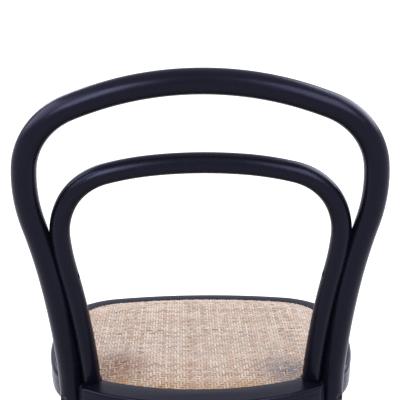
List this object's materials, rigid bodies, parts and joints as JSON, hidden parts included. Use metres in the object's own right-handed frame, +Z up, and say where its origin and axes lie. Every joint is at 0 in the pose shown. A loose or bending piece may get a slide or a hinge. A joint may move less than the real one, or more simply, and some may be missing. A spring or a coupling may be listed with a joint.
{
  "type": "bentwood bistro chair",
  "caption": "Armless bentwood cafe chair: round bow back with an inner hoop, crowned woven rattan seat in a bent ring, turned front legs and a round brace ring.",
  "frame": {"origin": "on the floor, under the middle of the chair's box", "axes": "+Z up, -Y the way the sitter faces, +X the sitter's left"},
  "size_m": [0.4424, 0.4601, 0.8777],
  "materials": {
    "lacquered_beech": "steam-bent beech sprayed with satin black lacquer",
    "woven_rattan": "natural rattan strips woven in a two over two twill",
    "plywood": "sanded birch plywood",
    "beech_dowel": "turned beech, fluted and glued",
    "black_screw": "black phosphated steel wood screws",
    "black_bolt": "domed steel bolt heads under the black lacquer",
    "zinc_steel": "zinc plated steel",
    "nylon": "moulded black nylon"
  },
  "bodies": {
    "root": {"back_bow": "lacquered_beech", "back_hoop": "lacquered_beech", "seat_frame": "lacquered_beech", "seat_ring": "lacquered_beech", "seat_board": "plywood", "rattan_panel": "woven_rattan", "front_leg_left": "lacquered_beech", "front_leg_right": "lacquered_beech", "brace_ring": "lacquered_beech", "hoop_dowels": "beech_dowel", "hoop_screws": "black_screw", "brace_screws": "black_screw", "front_leg_screws": "black_screw", "seat_frame_screws": "black_screw", "seat_board_screws": "black_screw", "rear_leg_bolts": "black_bolt", "rear_leg_washers": "zinc_steel", "rear_leg_nuts": "zinc_steel", "glide_front_left": "nylon", "glide_front_right": "nylon", "glide_rear_left": "nylon", "glide_rear_right": "nylon"}
  },
  "joints": []
}
